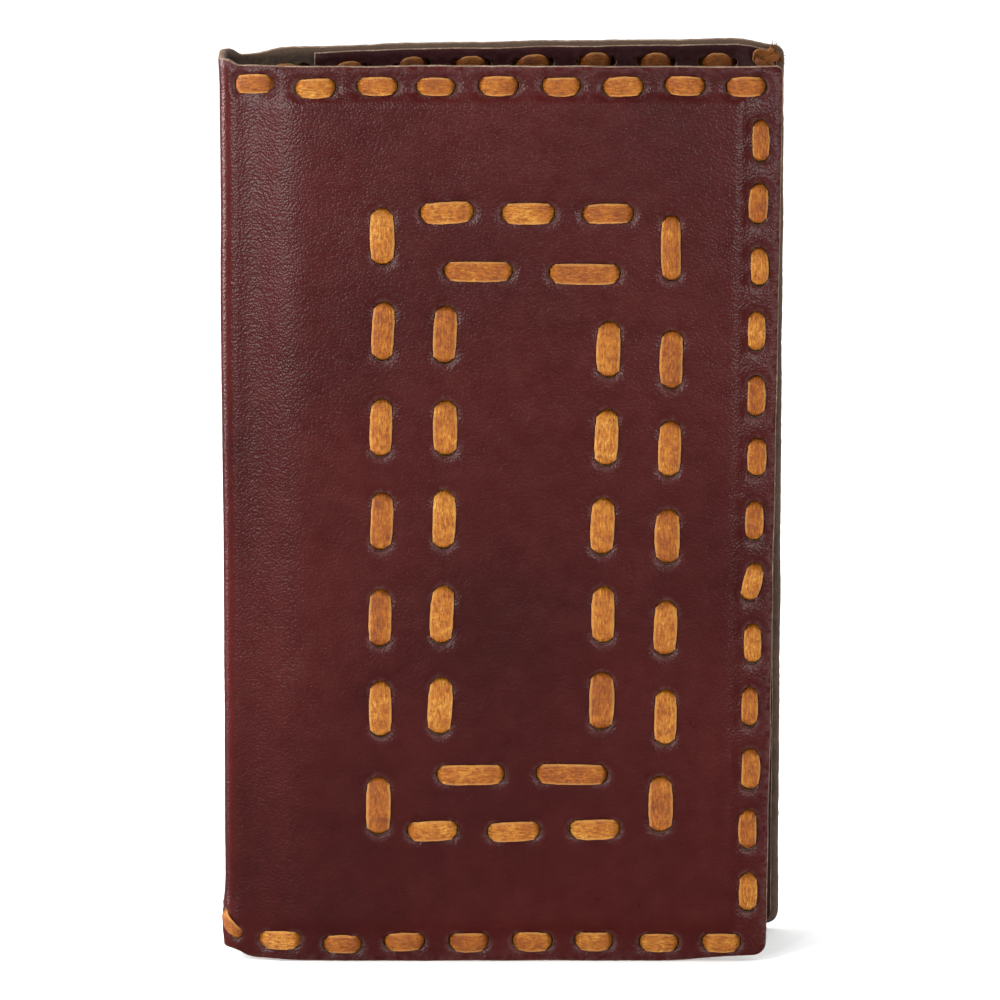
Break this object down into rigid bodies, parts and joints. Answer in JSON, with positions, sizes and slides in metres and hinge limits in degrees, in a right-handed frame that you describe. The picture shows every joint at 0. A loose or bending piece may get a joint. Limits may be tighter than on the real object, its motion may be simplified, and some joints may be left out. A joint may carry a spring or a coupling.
{
  "type": "leather notebook cover",
  "caption": "Upright bifold leather notebook cover with hand-laced edges and laced pockets; the panels open about two folds at the spine.",
  "frame": {"origin": "under the middle of the object's box, on the surface that it stands on", "axes": "+Z from foot to head, +X from the spine to the fore edge, -Y out of the front panel"},
  "size_m": [0.14, 0.0358, 0.228],
  "materials": {
    "cover_leather": "burgundy full-grain leather, semi-gloss, flesh side out of sight",
    "pocket_leather": "thinner burgundy leather, satin",
    "lace_leather": "mottled tan lacing leather, matt",
    "stiffener_board": "grey board with a fibrous matt surface"
  },
  "bodies": {
    "spine": {"spine_leather": "cover_leather", "spine_head_lace": "lace_leather", "spine_foot_lace": "lace_leather"},
    "front_panel": {"front_cover_leather": "cover_leather", "front_pocket": "pocket_leather", "front_stiffener": "stiffener_board", "front_border_lace": "lace_leather", "front_outer_motif_lace": "lace_leather", "front_inner_motif_lace": "lace_leather"},
    "back_panel": {"back_cover_leather": "cover_leather", "back_pocket": "pocket_leather", "back_stiffener": "stiffener_board", "back_border_lace": "lace_leather", "back_corner_knot": "lace_leather"}
  },
  "joints": [
    {"name": "front_fold", "type": "hinge", "parent": "spine", "child": "front_panel", "pos_m": [-0.06855, -0.01522, 0.114], "axis": [0, 0, -1], "range_deg": [-2, 100]},
    {"name": "back_fold", "type": "hinge", "parent": "spine", "child": "back_panel", "pos_m": [-0.06855, 0.00285, 0.114], "axis": [0, 0, 1], "range_deg": [-5, 95]}
  ]
}
